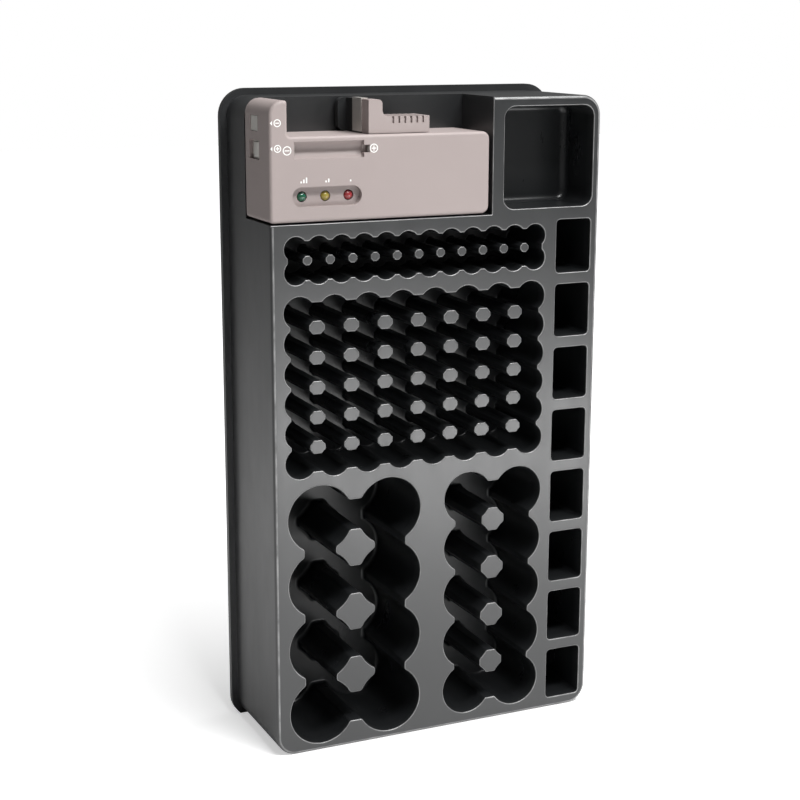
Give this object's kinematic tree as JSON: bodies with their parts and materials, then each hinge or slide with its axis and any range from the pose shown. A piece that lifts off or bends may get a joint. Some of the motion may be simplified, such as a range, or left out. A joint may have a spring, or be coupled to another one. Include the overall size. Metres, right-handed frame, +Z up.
{
  "type": "battery storage tray",
  "caption": "Upright battery storage tray with round and square cell wells and a lift-out cell tester whose sprung slider grips a cell against a fixed contact.",
  "frame": {"origin": "middle of the lower edge's flat rest face, midway between the open face and the open back", "axes": "+Z up along the tray's height, the open face looks along -Y, +X to the right seen from the front"},
  "size_m": [0.191, 0.066, 0.3403],
  "materials": {
    "black_plastic": "fine moulded satin",
    "taupe_plastic": "fine spark-eroded texture",
    "dark_plastic": "satin",
    "contact_metal": "nickel-plated strip",
    "screw_steel": "zinc-plated",
    "spring_steel": "drawn wire",
    "green_lens": "tinted clear resin",
    "yellow_lens": "tinted clear resin",
    "red_lens": "tinted clear resin",
    "board_laminate": "solder-masked laminate",
    "component_body": "moulded package"
  },
  "bodies": {
    "tray": {"tray_face": "black_plastic", "tray_walls": "black_plastic", "tray_flange": "black_plastic", "tester_bay": "black_plastic", "aaa_well_walls": "black_plastic", "aaa_well_floor": "black_plastic", "aaa_posts": "black_plastic", "aa_well_walls": "black_plastic", "aa_well_floor": "black_plastic", "aa_posts": "black_plastic", "c_well_walls": "black_plastic", "c_well_floor": "black_plastic", "c_posts": "black_plastic", "d_well_walls": "black_plastic", "d_well_floor": "black_plastic", "d_posts": "black_plastic", "nine_volt_wells": "black_plastic", "coin_well": "black_plastic"},
    "tester": {"front_shell": "taupe_plastic", "rear_shell": "taupe_plastic", "lamp_green": "green_lens", "lamp_yellow": "yellow_lens", "lamp_red": "red_lens", "circuit_board": "board_laminate", "board_components": "component_body", "board_screws": "screw_steel", "case_screws": "screw_steel", "snap_contact_flat": "contact_metal", "snap_contact_clip": "contact_metal", "trough_contact_minus": "contact_metal", "trough_contact_plus": "contact_metal", "column_contact": "contact_metal", "guide_rod": "screw_steel", "return_spring": "spring_steel"},
    "slider": {"slider_grip": "taupe_plastic", "slider_carriage": "dark_plastic", "slider_contact": "contact_metal"}
  },
  "joints": [
    {"name": "tester_lift_out", "type": "slide", "parent": "tray", "child": "tester", "axis": [0, -1, 0], "range_m": [0, 0.045]},
    {"name": "slider_travel", "type": "slide", "parent": "tester", "child": "slider", "axis": [1, 0, 0], "range_m": [0, 0.025], "stiffness_N_per_m": 60, "springref_m": -0.01, "deforming": ["return_spring"]}
  ]
}
